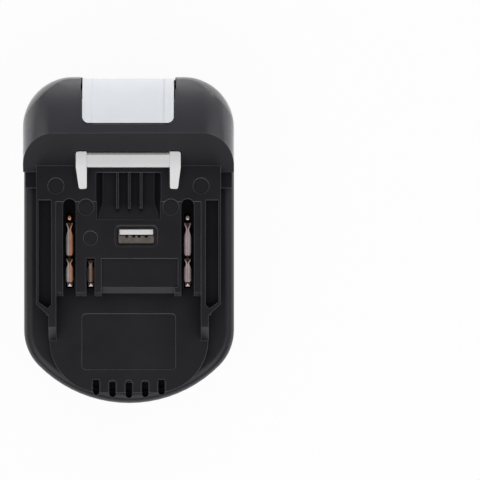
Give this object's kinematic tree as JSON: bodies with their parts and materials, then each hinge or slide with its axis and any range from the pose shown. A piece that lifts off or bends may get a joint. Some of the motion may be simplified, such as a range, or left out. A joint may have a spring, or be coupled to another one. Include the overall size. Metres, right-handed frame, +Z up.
{
  "type": "tool battery adapter",
  "caption": "Slide-on battery adapter with T-rails and contact slots on top, a railed battery bay below, a sprung lock hook with its release button and a USB outlet.",
  "frame": {"origin": "on the rim under the middle of the body, the surface that the adapter stands on", "axes": "+X across the width, +Y along the length to the rear hump, +Z up to the tool side"},
  "size_m": [0.075, 0.1162, 0.046],
  "materials": {
    "black_shell": "fine matte grain",
    "button_white": "satin",
    "hook_white": "satin",
    "screw_steel": "blackened",
    "spring_steel": "bright",
    "copper": "bright copper",
    "blade_tin": "tinned",
    "usb_metal": "nickel",
    "tongue_white": "satin",
    "contact_gold": "gold plated",
    "block_plastic": "matte",
    "board_laminate": "brown laminate",
    "red_insulation": "satin",
    "black_insulation": "satin",
    "ferrite": "matte",
    "can_sleeve": "sleeved",
    "chip_black": "matte"
  },
  "bodies": {
    "housing": {"upper_shell": "black_shell", "lower_shell": "black_shell", "case_screws": "screw_steel", "board_screws": "screw_steel", "latch_springs": "spring_steel", "left_tool_contact": "copper", "right_tool_contact": "copper", "signal_contact": "copper", "left_battery_blade": "blade_tin", "right_battery_blade": "blade_tin", "blade_block": "block_plastic", "positive_lead": "red_insulation", "negative_lead": "black_insulation", "circuit_board": "board_laminate", "usb_shell": "usb_metal", "usb_tongue": "tongue_white", "usb_contacts": "contact_gold", "inductor": "ferrite", "input_capacitor": "can_sleeve", "output_capacitor": "can_sleeve", "converter_chip": "chip_black", "catch_diode": "chip_black"},
    "latch": {"release_button": "button_white", "lock_hook": "hook_white"}
  },
  "joints": [
    {"name": "latch_slide", "type": "slide", "parent": "housing", "child": "latch", "axis": [0, 0, -1], "range_m": [0, 0.0048], "stiffness_N_per_m": 1200, "springref_m": -0.003, "deforming": ["latch_springs"]}
  ]
}
